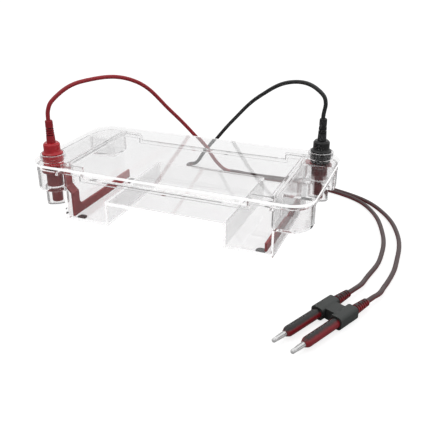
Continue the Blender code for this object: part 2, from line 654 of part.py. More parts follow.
def grip_entry(place):
    """World point and heading of the hole where a lead enters its banana plug."""
    heading = Vector((cos(PLUG_HEADING), sin(PLUG_HEADING), 0.0))
    across = Vector((-heading.y, heading.x, 0.0))
    middle = Vector((BLOCK_X, BLOCK_Y, AXIS_Z))
    return middle + heading * (GRIP_BACK - RELIEF_LENGTH) + across * place * PIN_PITCH / 2, heading


def build_lead(name, start, arch, table, place, colour):
    """Flexible lead: straight out of its boot, over the lid and down behind the tank, then flat along
    the table and straight into the bore of the banana plug."""
    entry, heading = grip_entry(place)
    points = [Vector((*start, LEAD_START_Z)), Vector((*start, BOOT_TOP_Z + 0.002))]
    points += [Vector(point) for point in arch]
    points += [Vector((x, y, TABLE_Z)) for x, y in table]
    points += [entry - heading * LEAD_RUN_IN, entry + heading * LEAD_IN_GRIP]
    curve = bpy.data.curves.new(name, "CURVE")
    curve.dimensions = "3D"
    curve.bevel_depth = LEAD_R
    curve.bevel_resolution = 1
    curve.use_fill_caps = True
    curve.resolution_u = 6
    spline = curve.splines.new("BEZIER")
    spline.bezier_points.add(len(points) - 1)
    up = Vector((0.0, 0.0, 1.0))
    ends = {0: up, 1: up, len(points) - 2: heading, len(points) - 1: heading}
    for index, (point, here) in enumerate(zip(spline.bezier_points, points)):
        before, after = points[max(index - 1, 0)], points[min(index + 1, len(points) - 1)]
        along = (after - before).normalized()
        if here.z < TABLE_Z + 1e-6:
            along = Vector((along.x, along.y, 0.0)).normalized()
        along = ends.get(index, along)
        point.co = here
        point.handle_left_type = "FREE"
        point.handle_right_type = "FREE"
        point.handle_left = here - along * (here - before).length * HANDLE_SHARE
        point.handle_right = here + along * (after - here).length * HANDLE_SHARE
    lead = bpy.data.objects.new(name, curve)
    lead.data.materials.append(colour)
    bpy.context.scene.collection.objects.link(lead)
    return lead


def build_leads():
    red_arch = [(-0.1335, -0.0525, 0.134), (-0.1136, -0.0217, 0.1495), (-0.0800, 0.030, 0.1420),
                (-0.0535, 0.0700, 0.0990), (-0.0260, 0.112, 0.043), (-0.0130, 0.1290, 0.0130)]
    red_table = [(0.000, 0.1370), (0.030, 0.1355), (0.105, 0.1355), (0.1660, 0.1200), (0.2050, 0.0890),
                 (0.2320, 0.0320), (0.2385, -0.0360), (0.2340, -0.0810)]
    black_arch = [(0.1340, 0.0605, 0.1385), (0.0970, 0.0780, 0.1455), (0.0510, 0.0990, 0.1205),
                  (0.0125, 0.1160, 0.0835), (-0.0220, 0.1325, 0.0440), (-0.0415, 0.1410, 0.0200),
                  (-0.0500, 0.1445, 0.0080)]
    black_table = [(-0.0580, 0.1450), (-0.0625, 0.1380), (-0.0560, 0.1315), (-0.0380, 0.1290),
                   (0.0000, 0.1283), (0.0300, 0.1282), (0.1050, 0.1285), (0.1560, 0.1180),
                   (0.1920, 0.0895), (0.2165, 0.0300), (0.2225, -0.0300), (0.2155, -0.0740)]
    build_lead("red_lead", (PLUG_X, PLUG_Y), red_arch, red_table, 1, red_plastic())
    build_lead("black_lead", (-PLUG_X, -PLUG_Y), black_arch, black_table, -1, black_plastic())


# ------------------------------------------------------------------ whole object

def lower_onto_origin():
    """Everything above is placed from the table up; the origin is the gel deck's top face."""
    for made in bpy.data.objects:
        if made.parent is None:
            made.location.z -= DECK_TOP_Z


def main():
    for old in list(bpy.data.objects):
        bpy.data.objects.remove(old, do_unlink=True)
    build_tank_base()
    build_feet()
    build_lid_shell()
    sides = {"red": (False, maroon_plastic(), red_plastic(), red_plastic()),
             "black": (True, dark_electrode_plastic(), black_plastic(), black_plastic())}
    for side, (half_turn, electrode, body, boot) in sides.items():
        root = side_root(f"{side}_side", half_turn)
        build_electrode_arm(f"{side}_electrode_arm", electrode, root)
        build_platinum_wire(f"{side}_platinum_wire", root)
        build_socket_holder(f"{side}_socket_holder", electrode, root)
        build_contact_pin(f"{side}_contact_pin", root)
        build_pin_nut(f"{side}_pin_nut", root)
        build_lid_plug(side, body, boot, root)
    plug = plug_root()
    build_plug_block(plug)
    build_banana_plug("red", 1, red_plastic(), plug)
    build_banana_plug("black", -1, black_plastic(), plug)
    build_leads()
    lower_onto_origin()


main()
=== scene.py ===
"""Looks of the gel electrophoresis tank: clear acrylic tank and lid, moulded plugs, flexible leads,
turned metal contacts, a pale floor and soft studio light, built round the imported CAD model."""
import json
from math import cos, pi, radians, sin

import bmesh
import bpy
from mathutils import Matrix, Vector

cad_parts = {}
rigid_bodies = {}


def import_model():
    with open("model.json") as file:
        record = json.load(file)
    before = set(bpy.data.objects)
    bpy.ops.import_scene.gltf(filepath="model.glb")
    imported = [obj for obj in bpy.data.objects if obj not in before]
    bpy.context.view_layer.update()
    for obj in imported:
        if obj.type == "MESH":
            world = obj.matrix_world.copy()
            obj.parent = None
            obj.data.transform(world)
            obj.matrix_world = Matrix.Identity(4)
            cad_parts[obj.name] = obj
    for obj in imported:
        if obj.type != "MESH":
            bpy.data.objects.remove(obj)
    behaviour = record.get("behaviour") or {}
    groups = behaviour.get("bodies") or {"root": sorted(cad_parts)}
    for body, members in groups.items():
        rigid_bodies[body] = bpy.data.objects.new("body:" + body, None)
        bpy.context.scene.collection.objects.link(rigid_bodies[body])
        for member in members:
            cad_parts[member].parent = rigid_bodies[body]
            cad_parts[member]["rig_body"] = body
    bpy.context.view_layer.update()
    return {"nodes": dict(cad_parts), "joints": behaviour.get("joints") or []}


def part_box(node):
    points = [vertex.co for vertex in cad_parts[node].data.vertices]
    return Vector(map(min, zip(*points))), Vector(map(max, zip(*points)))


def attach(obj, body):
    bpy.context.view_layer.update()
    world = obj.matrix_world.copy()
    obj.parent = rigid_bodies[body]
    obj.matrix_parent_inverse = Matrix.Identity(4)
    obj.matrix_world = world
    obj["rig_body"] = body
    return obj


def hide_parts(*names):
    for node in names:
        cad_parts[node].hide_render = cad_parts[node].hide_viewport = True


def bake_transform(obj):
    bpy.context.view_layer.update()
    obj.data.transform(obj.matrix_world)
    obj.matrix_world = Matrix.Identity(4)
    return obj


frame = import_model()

MM = 0.001
SIDES = ("red", "black")
TABLE_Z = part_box("foot_front_left")[0].z       # height of the table top, under the feet
GAP = 0.3 * MM                 # clearance between neighbouring pieces
SMOOTH_ANGLE = radians(32)     # sharper corners than this are shaded as edges
SAME_PLACE = 1e-6              # vertices closer than this are one
CREASE_SHADE_DEPTH = 2.5 * MM        # creases and slots up to this deep get painted shade

# ---- clear plates ----
PLATE = 3.6 * MM               # no plate of the tank or the lid is thicker
DECK_PLATE, DECK_HALF = 3.2 * MM, 68.4 * MM    # thickness and half length of the deck plate
END_FLANGE_Z = 27.0 * MM       # the tank's end flanges and the lid are above this, its low rims below
PLUG_ROOM = 15.0 * MM          # round each plug's axis no upright face counts as a cut edge
RIM_ROOM = 5.0 * MM            # a long rim's middle is at most this far inside the long wall's outer face
RIM_LINE = 0.35 * MM           # width of the painted dark line along a low rim's outer corner
CUT_EDGE, RIM_TOP, RIM_DARK_LINE = 1, 2, 3        # material slots of a clear shell, after its plain one
UPRIGHT, FACING = 0.3, 0.9     # a normal is level below the first, and along an axis above the second

# ---- lid plugs ----
SPIGOT_R, SLEEVE_R = 5.5 * MM, 3.5 * MM
BOOT_TAPER = 0.82              # radius at the boot's top, as a share of the radius at its foot
BOOT_BAND = 0.6 * MM           # straight band round the foot
BOOT_PLAIN, BOOT_HEAD = 7.4 * MM, 7.2 * MM     # lengths below and above the slots
BOOT_SLOTS, BOOT_SLOT_DEPTH = 4, 1.3 * MM
SLOT_SHARE, SLOT_SLOPE = 0.5, 0.02             # width of a slot and of its sides, as shares of the pitch
WEB_ANGLE = radians(28)        # width of the webs that bridge a slot
NUT_TEETH, NUT_TOOTH_DEPTH = 36, 0.35 * MM

# ---- power plug ----
GRIP_R = 4.6 * MM
GRIP_NOSE, GRIP_NOSE_SET = 3.8 * MM, 1.8 * MM  # length and inset of the shroud's chamfered nose
GRIP_SLOTS, GRIP_SLOT_DEPTH = 6, 0.9 * MM
RELIEF_R = 3.65 * MM           # radius of the strain relief at its back end
POCKET_DEPTH, LEAD_HOLE = 12.0 * MM, 14.0 * MM # depths of the pocket round the pin and of the lead's hole
PIN_R, PIN_FOOT = 1.4 * MM, 3.0 * MM           # the pin's core, and the length of its wide foot
LEAF, LEAVES = 0.15 * MM, 6    # thickness and number of the cage's leaves

# ---- leads ----
LEAD_R, LEAD_BORE = 2.3 * MM, 2.6 * MM
LEAD_SIDES = 20
SAME_HEIGHT = 0.05 * MM        # points within this height are level

# ---- camera ----
CAMERA_PLACE = Vector((0.2643, -0.5731, TABLE_Z + 0.2965))
CAMERA_AZIMUTH = radians(21.97)
CAMERA_ELEVATION = radians(25.33)
CAMERA_LENS = 50.0
CAMERA_SENSOR = 36.0

# ---- floor and light ----
FLOOR_HALF = 4.0
FLOOR_TONES = (0.43, 0.45)
FLOOR_GLOW = 0.76              # makes the table top look lit from below
MIRRORED_FLOOR = 0.38          # tone of the table top in mirrored light
SEEN_LIGHT = 1.08              # strength of the surroundings where they are seen and not mirrored


# ------------------------------------------------------------------ material helpers

def new_material(name):
    """A node material with its Principled shader, as (material, tree, shader)."""
    made = bpy.data.materials.new(name)
    made.use_nodes = True
    tree = made.node_tree
    return made, tree, tree.nodes["Principled BSDF"]


def add(tree, kind, **values):
    """A new node; names are sockets, with _ for a space, or else properties of the node."""
    node = tree.nodes.new(kind)
    for name, value in values.items():
        socket = node.inputs.get(name.replace("_", " "))
        if socket is None:
            setattr(node, name, value)
        else:
            socket.default_value = value
    return node


def grain(tree, scale, detail=4.0, stretch=(1.0, 1.0, 1.0)):
    """Noise in the object's own metres; returns its value socket."""
    place = add(tree, "ShaderNodeTexCoord")
    mapping = add(tree, "ShaderNodeMapping")
    mapping.inputs["Scale"].default_value = stretch
    noise = add(tree, "ShaderNodeTexNoise", Scale=scale, Detail=detail, Roughness=0.6)
    tree.links.new(place.outputs["Object"], mapping.inputs["Vector"])
    tree.links.new(mapping.outputs["Vector"], noise.inputs["Vector"])
    return noise.outputs["Fac"]


def between(tree, source, low, high, start=0.3, end=0.7):
    """Value from low to high as the source goes from start to end."""
    node = add(tree, "ShaderNodeMapRange", From_Min=start, From_Max=end, To_Min=low, To_Max=high)
    tree.links.new(source, node.inputs["Value"])
    return node.outputs["Result"]


def mixed(tree, factor, first, second):
    """Colour mix; first and second are colours or sockets."""
    node = add(tree, "ShaderNodeMix", data_type="RGBA")
    tree.links.new(factor, node.inputs["Factor"])
    for socket, value in ((node.inputs[6], first), (node.inputs[7], second)):
        if isinstance(value, (tuple, list)):
            socket.default_value = (*value, 1.0)
        else:
            tree.links.new(value, socket)
    return node.outputs[2]


def bump(tree, shader, height, distance, strength=1.0):
    node = add(tree, "ShaderNodeBump", Distance=distance, Strength=strength)
    tree.links.new(height, node.inputs["Height"])
    tree.links.new(node.outputs["Normal"], shader.inputs["Normal"])


def edge_share(tree):
    """0 on flats and 1 on sharp outer edges."""
    shape = add(tree, "ShaderNodeNewGeometry")
    return between(tree, shape.outputs["Pointiness"], 0.0, 1.0, 0.52, 0.62)


def painted_crease_shade(tree, colour, dark, alone):
    """Painted shade: the colour, darkened by ambient occlusion down to dark times it in creases, slots and
    grooves; alone leaves out the painted shade between two pieces."""
    hollow = add(tree, "ShaderNodeAmbientOcclusion", samples=8, only_local=alone, Distance=CREASE_SHADE_DEPTH)
    share = between(tree, hollow.outputs["AO"], 0.0, 1.0, 0.25, 0.75)
    shade = mixed(tree, share, times((1.0, 1.0, 1.0), dark), (1.0, 1.0, 1.0))
    product = add(tree, "ShaderNodeMix", data_type="RGBA", blend_type="MULTIPLY")
    product.inputs["Factor"].default_value = 1.0
    tree.links.new(colour, product.inputs[6])
    tree.links.new(shade, product.inputs[7])
    return product.outputs[2]


def times(colour, factor):
    return tuple(min(1.0, channel * factor) for channel in colour)


def show_either(tree, factor, first, second):
    """The material's surface goes from the first shader to the second with the factor."""
    mix = add(tree, "ShaderNodeMixShader")
    tree.links.new(factor, mix.inputs["Fac"])
    tree.links.new(first.outputs["BSDF"], mix.inputs[1])
    tree.links.new(second.outputs["BSDF"], mix.inputs[2])
    output = next(node for node in tree.nodes if node.type == "OUTPUT_MATERIAL")
    tree.links.new(mix.outputs["Shader"], output.inputs["Surface"])


# ------------------------------------------------------------------ materials

def clear_acrylic(name, tint, roughness=0.002):
    """Polished clear acrylic: faint flow ripples from moulding, light rubbing and a grey cast. It
    lets shadow rays and scattered light straight through."""
    made, tree, shader = new_material(name)
    shader.inputs["Transmission Weight"].default_value = 1.0
    shader.inputs["IOR"].default_value = 1.49
    haze = grain(tree, 35.0, detail=3.0)
    tree.links.new(between(tree, haze, roughness * 0.2, roughness * 2.0), shader.inputs["Roughness"])
    tree.links.new(mixed(tree, between(tree, haze, 0.0, 1.0), tint, times(tint, 1.01)),
                   shader.inputs["Base Color"])
    bump(tree, shader, grain(tree, 18.0, detail=1.0), 0.00002, 0.02)
    clear = add(tree, "ShaderNodeBsdfTransparent", Color=(0.985, 0.985, 0.985, 1.0))
    path = add(tree, "ShaderNodeLightPath")
    soft = add(tree, "ShaderNodeMath", operation="MAXIMUM")
    tree.links.new(path.outputs["Is Shadow Ray"], soft.inputs[0])
    tree.links.new(path.outputs["Is Diffuse Ray"], soft.inputs[1])
    show_either(tree, soft.outputs["Value"], shader, clear)
    return made


def clear_edge(name, glow):
    """Cut edge of a clear plate: slightly hazy, and bright with a painted glow (emission) that stands in
    for the light that runs inside the plate.
    """
    made, tree, shader = new_material(name)
    haze = grain(tree, 120.0, detail=4.0)
    tree.links.new(mixed(tree, between(tree, haze, 0.0, 1.0), (0.93, 0.93, 0.93), (0.97, 0.97, 0.97)),
                   shader.inputs["Base Color"])
    tree.links.new(between(tree, haze, 0.25, 0.40), shader.inputs["Roughness"])
    # painted glow: a white emission on the cut edge
    shader.inputs["Emission Color"].default_value = (1.0, 1.0, 1.0, 1.0)
    shader.inputs["Emission Strength"].default_value = glow
    bump(tree, shader, grain(tree, 900.0, stretch=(1.0, 1.0, 0.1)), 0.00001, 0.3)
    return made


def moulded(name, colour, roughness, texture=0.00002, grain_scale=2500.0, wear=1.6, clearcoat=0.0,
            crease_shade=0.35, alone=True):
    """Moulded plastic: fine surface texture, uneven sheen, slightly varied and edge-rubbed colour, and
    painted shade in creases and slots.
    """
    made, tree, shader = new_material(name)
    cloud = grain(tree, 60.0, detail=5.0)
    varied = mixed(tree, between(tree, cloud, 0.0, 1.0), times(colour, 0.86), times(colour, 1.12))
    rubbed = mixed(tree, edge_share(tree), varied, times(colour, wear))
    # painted shade: the colour is darkened in creases, slots and grooves
    tree.links.new(painted_crease_shade(tree, rubbed, crease_shade, alone), shader.inputs["Base Color"])
    fine = grain(tree, grain_scale, detail=2.0)
    tree.links.new(between(tree, cloud, roughness * 0.85, roughness * 1.2), shader.inputs["Roughness"])
    shader.inputs["Coat Weight"].default_value = clearcoat
    shader.inputs["Coat Roughness"].default_value = 0.12
    bump(tree, shader, fine, texture, 0.5)
    return made


def painted_facing_shade(name, upper, lower, roughness, level, softness=0.18):
    """Painted shade by facing: one colour where the surface faces up, another where it faces down, meeting
    at a slightly uneven line.
    """
    made, tree, shader = new_material(name)
    # painted shade: the colour follows which way the surface faces in the world, not the part itself
    shape = add(tree, "ShaderNodeNewGeometry")
    parts = add(tree, "ShaderNodeSeparateXYZ")
    tree.links.new(shape.outputs["Normal"], parts.inputs["Vector"])
    wave = between(tree, grain(tree, 300.0), -0.06, 0.06)
    height = add(tree, "ShaderNodeMath", operation="ADD")
    tree.links.new(parts.outputs["Z"], height.inputs[0])
    tree.links.new(wave, height.inputs[1])
    share = between(tree, height.outputs["Value"], 0.0, 1.0, level - softness, level + softness)
    cloud = grain(tree, 90.0, detail=5.0)
    dark = mixed(tree, between(tree, cloud, 0.0, 1.0), times(upper, 0.85), times(upper, 1.2))
    light = mixed(tree, between(tree, cloud, 0.0, 1.0), times(lower, 0.85), times(lower, 1.12))
    tree.links.new(mixed(tree, share, light, dark), shader.inputs["Base Color"])
    tree.links.new(between(tree, cloud, roughness * 0.85, roughness * 1.2), shader.inputs["Roughness"])
    bump(tree, shader, grain(tree, 2500.0, detail=2.0), 0.00002, 0.5)
    return made


def rubber(name, colour):
    made, tree, shader = new_material(name)
    dust = grain(tree, 400.0, detail=6.0)
    tree.links.new(mixed(tree, between(tree, dust, 0.0, 1.0), colour, times(colour, 1.8)),
                   shader.inputs["Base Color"])
    tree.links.new(between(tree, dust, 0.75, 0.95), shader.inputs["Roughness"])
    bump(tree, shader, grain(tree, 1800.0), 0.00004, 0.6)
    return made


def turned_metal(name, colour, roughness, metallic=1.0):
    """Plated metal with fine tool marks round its axis and a little tarnish."""
    made, tree, shader = new_material(name)
    shader.inputs["Metallic"].default_value = metallic
    marks = grain(tree, 700.0, detail=3.0, stretch=(1.0, 1.0, 30.0))
    tarnish = grain(tree, 250.0, detail=5.0)
    tree.links.new(mixed(tree, between(tree, tarnish, 0.0, 1.0), colour, times(colour, 0.82)),
                   shader.inputs["Base Color"])
    tree.links.new(between(tree, marks, roughness * 0.6, roughness * 1.5), shader.inputs["Roughness"])
    bump(tree, shader, marks, 0.00001, 0.4)
    return made


def make_materials():
    red = (0.62, 0.020, 0.032)
    boot_red = (0.38, 0.012, 0.022)
    maroon = (0.36, 0.066, 0.070)
    black = (0.014, 0.014, 0.015)
    brown = (0.090, 0.055, 0.056)
    dark_brown = (0.020, 0.017, 0.017)
    return {
        "clear_acrylic": clear_acrylic("clear_acrylic", (0.962, 0.960, 0.962)),
        "clear_lid": clear_acrylic("clear_lid", (0.915, 0.913, 0.915)),
        "clear_edge": clear_edge("clear_edge", 0.64),
        # painted shade: the rim tops get a much greyer tint than the rest of the tank
        "clear_rim": clear_acrylic("clear_rim", (0.76, 0.76, 0.76), roughness=0.03),
        # painted reflection: an opaque dark grey line laid on the low rims' outer corners
        "painted_rim_line": moulded("painted_rim_line", (0.16, 0.16, 0.16), 0.25),
        "red_plastic": moulded("red_plastic", red, 0.22, clearcoat=0.1),
        # the plug bodies also get painted shade where they meet the collar and the boot
        "red_body": moulded("red_body", red, 0.22, clearcoat=0.1, crease_shade=0.12, alone=False),
        "black_body": moulded("black_body", black, 0.28, wear=2.5, alone=False),
        # the boots' slots get deep painted shade, down to nearly black
        "red_boot": moulded("red_boot", boot_red, 0.35, crease_shade=0.04),
        "black_boot": moulded("black_boot", times(black, 1.6), 0.28, wear=2.0, crease_shade=0.0),
        "black_plastic": moulded("black_plastic", black, 0.28, wear=2.5),
        "maroon_plastic": moulded("maroon_plastic", maroon, 0.35),
        "dark_electrode_plastic": moulded("dark_electrode_plastic", times(maroon, 0.85), 0.35),
        "grey_plastic": moulded("grey_plastic", (0.034, 0.038, 0.036), 0.42, texture=0.00005, wear=2.0),
        "red_cable": moulded("red_cable", (0.38, 0.016, 0.026), 0.38, grain_scale=1600.0),
        "black_cable": moulded("black_cable", (0.022, 0.023, 0.024), 0.38, grain_scale=1600.0),
        # painted shade on the table leads and banana grips: dark where they face up, red where they face
        # down
        "table_cable": painted_facing_shade("table_cable", brown, (0.24, 0.030, 0.036), 0.40, level=0.30,
                                softness=0.35),
        "red_grip": painted_facing_shade("red_grip", dark_brown, (0.31, 0.015, 0.024), 0.30, level=0.78),
        "black_grip": painted_facing_shade("black_grip", dark_brown, (0.27, 0.014, 0.022), 0.30, level=0.60),
        "foot_rubber": rubber("foot_rubber", (0.05, 0.05, 0.05)),
        # painted reflection: the plating is white and only partly metallic, so its own colour stands in for
        # the bright reflections of nickel
        "nickel_plate": turned_metal("nickel_plate", (1.0, 1.0, 1.0), 0.25, metallic=0.35),
        "gold_plate": turned_metal("gold_plate", (0.83, 0.62, 0.25), 0.18),
        "platinum": turned_metal("platinum", (0.80, 0.80, 0.79), 0.22),
    }


MATERIALS = make_materials()


# ------------------------------------------------------------------ mesh helpers

def finished(name, bm, material):
    """One mesh object from a bmesh, in world space, with one material and smooth round stretches."""
    bmesh.ops.recalc_face_normals(bm, faces=bm.faces)
    mesh = bpy.data.meshes.new(name)
    bm.to_mesh(mesh)
    bm.free()
    mesh.shade_smooth()
    mesh.set_sharp_from_angle(angle=SMOOTH_ANGLE)
    mesh.materials.append(MATERIALS[material])
    made = bpy.data.objects.new(name, mesh)
    bpy.context.scene.collection.objects.link(made)
    return made


def stand_for(made, node):
    """The piece rides on its CAD node's body, and is shown in the node's place."""
    body = frame["nodes"][node]["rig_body"]
    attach(made, body)
    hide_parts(node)
    return made


def refined(node, material, bevel, segments=3, plates=None):
    """The CAD node's shape with its coplanar triangles merged and its edges rounded. For a clear
    shell, plates sets which faces are the cut edges and the rims of its plates."""
    bm = bmesh.new()
    bm.from_mesh(frame["nodes"][node].data)
    bmesh.ops.remove_doubles(bm, verts=bm.verts, dist=SAME_PLACE)
    bmesh.ops.dissolve_limit(bm, angle_limit=radians(0.5), verts=bm.verts, edges=bm.edges)
    if plates:
        plates(bm)
    made = finished(f"{node}_shape", bm, material)
    if plates:
        for extra in ("clear_edge", "clear_rim", "painted_rim_line"):
            made.data.materials.append(MATERIALS[extra])
        # bevel that lays the painted dark line on the low rims' outer corners
        line = made.modifiers.new("rim corners", "BEVEL")
        line.width = RIM_LINE
        line.segments = 3
        line.limit_method = "WEIGHT"
        line.material = RIM_DARK_LINE
    rounding = made.modifiers.new("rounded edges", "BEVEL")
    rounding.width = bevel
    rounding.segments = segments
    rounding.limit_method = "ANGLE"
    rounding.angle_limit = radians(40)
    rounding.harden_normals = True
    rounding.use_clamp_overlap = True
    flat = made.modifiers.new("flat faces stay flat", "WEIGHTED_NORMAL")
    flat.keep_sharp = True
    flat.weight = 100
    return stand_for(made, node)


def lid_plates(bm):
    """The lid's outline is a cut edge."""
    cut_edges(bm, END_FLANGE_Z, 1.0)


def cut_edges(bm, lowest, highest):
    """Upright faces no taller than a plate is thick, between two heights and away from the plugs'
    holes, get the look of a cut edge."""
    bm.normal_update()
    axes = [axis_of(f"{side}_collar").translation for side in SIDES]
    for face in bm.faces:
        heights = [vert.co.z for vert in face.verts]
        middle = face.calc_center_median()
        away = min((middle.xy - axis.xy).length for axis in axes)
        inside = lowest < middle.z < highest and away > PLUG_ROOM
        if inside and abs(face.normal.z) < UPRIGHT and max(heights) - min(heights) < PLATE:
            face.material_index = CUT_EDGE


def split_at(bm, place, direction):
    """Cut every face along a plane; the surface stays closed."""
    bmesh.ops.bisect_plane(bm, geom=bm.verts[:] + bm.edges[:] + bm.faces[:], dist=1e-7,
                           plane_co=place, plane_no=direction)


def tank_plates(bm):
    """Cut edges are the outline of the tank's low rims and the two long edges of its deck plate. The top of
    a low rim is slightly hazy and tinted grey as painted shade, and its outer corner carries a thin painted
    dark line, a painted reflection."""
    cut_edges(bm, 0.0, END_FLANGE_Z)
    for height in (0.0, -DECK_PLATE):
        split_at(bm, (0.0, 0.0, height), (0.0, 0.0, 1.0))
    for across in (-DECK_HALF, DECK_HALF):
        split_at(bm, (across, 0.0, 0.0), (1.0, 0.0, 0.0))
    bm.normal_update()
    weights = bm.edges.layers.float.new("bevel_weight_edge")
    wall_y = max(vert.co.y for vert in bm.verts
                 if abs(vert.co.z + DECK_PLATE / 2) < DECK_PLATE and abs(vert.co.x) < DECK_HALF + PLATE)
    for face in bm.faces:
        middle = face.calc_center_median()
        on_wall = abs(face.normal.y) > FACING and abs(middle.y) > wall_y - 0.1 * MM
        if on_wall and -DECK_PLATE < middle.z < 0.0 and abs(middle.x) < DECK_HALF:
            face.material_index = CUT_EDGE
        longest = max(edge.calc_length() for edge in face.edges)
        near_wall = middle.z > 0.0 and abs(middle.y) > wall_y - RIM_ROOM
        if near_wall and face.normal.z > FACING and longest > 2 * DECK_HALF:
            # rim top: grey-tinted glass, painted shade
            face.material_index = RIM_TOP
            outer = max(face.edges, key=lambda edge: abs(sum(v.co.y for v in edge.verts)))
            # this outer corner gets the painted dark line
            outer[weights] = 1.0


def filleted(corners, steps=4):
    """A (radius, height) outline whose corners, given as (radius, height, fillet), are rounded."""
    outline = []
    count = len(corners)
    for index, (r, z, fillet) in enumerate(corners):
        here = Vector((r, z))
        if fillet <= 0.0:
            outline.append((r, z))
            continue
        before = Vector(corners[index - 1][:2]) - here
        after = Vector(corners[(index + 1) % count][:2]) - here
        reach = min(fillet, before.length * 0.45, after.length * 0.45)
        start, end = here + before.normalized() * reach, here + after.normalized() * reach
        for step in range(steps + 1):
            t = step / steps
            point = start * (1 - t) ** 2 + here * 2 * t * (1 - t) + end * t ** 2
            outline.append((point.x, point.y))
    return outline


def lathe(name, outline, material, place, segments=96, radius_at=None):
    """A closed outline turned about an axis; place is the world matrix of that axis. radius_at may
    change the radius by angle: it is given the index in the outline, the angle and the radius."""
    bm = bmesh.new()
    rings = []
    for index, (r, z) in enumerate(outline):
        if r < 1e-7:
            rings.append([bm.verts.new((0.0, 0.0, z))])
            continue
        ring = []
        for step in range(segments):
            angle = 2 * pi * step / segments
            radius = radius_at(index, angle, r) if radius_at else r
            ring.append(bm.verts.new((radius * cos(angle), radius * sin(angle), z)))
        rings.append(ring)
    pairs = list(zip(rings, rings[1:]))
    if len(rings[0]) > 1 or len(rings[-1]) > 1:
        pairs.append((rings[-1], rings[0]))
    for first, second in pairs:
        for step in range(segments):
            after = (step + 1) % segments
            corners = [first[step % len(first)], first[after % len(first)],
                       second[after % len(second)], second[step % len(second)]]
            unique = list(dict.fromkeys(corners))
            if len(unique) > 2:
                bm.faces.new(unique)
    made = finished(name, bm, material)
    made.matrix_world = place
    return made


def axis_of(node):
    """World matrix of an upright axis through the middle of a CAD node, at height 0."""
    low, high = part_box(node)
    middle = (low + high) / 2
    return Matrix.Translation((middle.x, middle.y, 0.0))


# ------------------------------------------------------------------ lid plugs

def staggered_slots(first, count, depth):
    """Radius change for a strain relief: slots cut from alternate sides, leaving two webs each."""
    def radius_at(index, angle, radius):
        place = index - first
        if place < 0 or place >= count * 4 or place % 4 in (0, 3):
            return radius
        turn = pi / 2 if (place // 4) % 2 else 0.0
        off = abs((angle - turn + pi / 2) % pi - pi / 2)
        return radius if off < WEB_ANGLE / 2 else radius - depth
    return radius_at


def relief_outline(z0, z1, r0, r1, slots):
    """Four points for each slot of a strain relief, from (r0, z0) to (r1, z1)."""
    outline = []
    pitch = (z1 - z0) / slots
    for index in range(slots):
        low = z0 + pitch * index
        for offset in (0.0, SLOT_SLOPE, SLOT_SHARE, SLOT_SHARE + SLOT_SLOPE):
            z = low + pitch * (offset + (1 - SLOT_SHARE) / 2)
            r = r0 + (r1 - r0) * (z - z0) / (z1 - z0)
            outline.append((r, z))
    return outline


def build_boot(side):
    """Tapered boot: plain cone, four staggered slots and a thicker lip where the lead comes out."""
    node = f"{side}_boot"
    low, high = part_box(node)
    foot_r = (high.x - low.x) / 2
    top_r = foot_r * BOOT_TAPER
    z0, z1 = low.z, high.z
    start = [(LEAD_BORE, z0), (foot_r, z0), (foot_r, z0 + BOOT_BAND)]
    slots = relief_outline(z0 + BOOT_PLAIN, z1 - BOOT_HEAD, foot_r * 0.94, top_r * 1.04, BOOT_SLOTS)
    cap = filleted([(top_r * 1.05, z1 - BOOT_HEAD + 0.3 * MM, 0.0), (top_r * 1.02, z1 - 1.2 * MM, 0.3 * MM),
                    (top_r * 0.96, z1, 0.6 * MM), (LEAD_BORE, z1, 0.2 * MM)])
    outline = start + slots + cap
    made = lathe(f"{side}_boot_relief", outline, f"{side}_boot", axis_of(node),
                 radius_at=staggered_slots(len(start), BOOT_SLOTS, BOOT_SLOT_DEPTH))
    return stand_for(made, node)


def build_plug_body(side):
    """Body: spigot through the lid, flange, drawn-in waist and a rounded shoulder."""
    node = f"{side}_plug_body"
    low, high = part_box(node)
    sleeve_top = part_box(f"{side}_socket_sleeve")[1].z
    collar_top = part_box(f"{side}_collar")[1].z
    flange_r = (high.x - low.x) / 2
    bore = SLEEVE_R + GAP
    body_r, top_r = flange_r * 0.78, flange_r * 0.64
    flange_z0 = collar_top + GAP
    corners = [(0.0, sleeve_top + GAP, 0.0), (bore, sleeve_top + GAP, 0.0),
               (bore, low.z, 0.2 * MM), (SPIGOT_R, low.z, 0.4 * MM), (SPIGOT_R, flange_z0, 0.0),
               (flange_r - 0.3 * MM, flange_z0, 0.2 * MM), (flange_r, flange_z0 + 0.4 * MM, 0.3 * MM),
               (flange_r - 0.4 * MM, flange_z0 + 0.9 * MM, 0.3 * MM),
               (body_r + 0.9 * MM, flange_z0 + 1.7 * MM, 0.8 * MM),
               (body_r, flange_z0 + 3.4 * MM, 1.0 * MM), (body_r, high.z - 1.9 * MM, 0.7 * MM),
               (top_r + 0.6 * MM, high.z - 1.2 * MM, 0.5 * MM),
               (top_r, high.z, 0.6 * MM), (0.0, high.z, 0.0)]
    made = lathe(f"{side}_plug_shell", filleted(corners), f"{side}_body", axis_of(node))
    return stand_for(made, node)


def build_collar(side):
    """Collar that stands in the lid's clear ring below the plug, with a shallow groove round it."""
    node = f"{side}_collar"
    low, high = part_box(node)
    outer, bore = (high.x - low.x) / 2, SPIGOT_R + GAP
    groove = outer - 0.4 * MM
    corners = [(bore, low.z, 0.0), (outer, low.z, 0.3 * MM), (outer, low.z + 2.0 * MM, 0.2 * MM),
               (groove, low.z + 2.2 * MM, 0.1 * MM), (groove, low.z + 2.6 * MM, 0.1 * MM),
               (outer, low.z + 2.8 * MM, 0.2 * MM), (outer, high.z - 0.5 * MM, 0.3 * MM),
               (outer - 0.5 * MM, high.z, 0.3 * MM), (bore, high.z, 0.2 * MM)]
    made = lathe(f"{side}_plug_collar", filleted(corners), f"{side}_plastic", axis_of(node), segments=128)
    return stand_for(made, node)


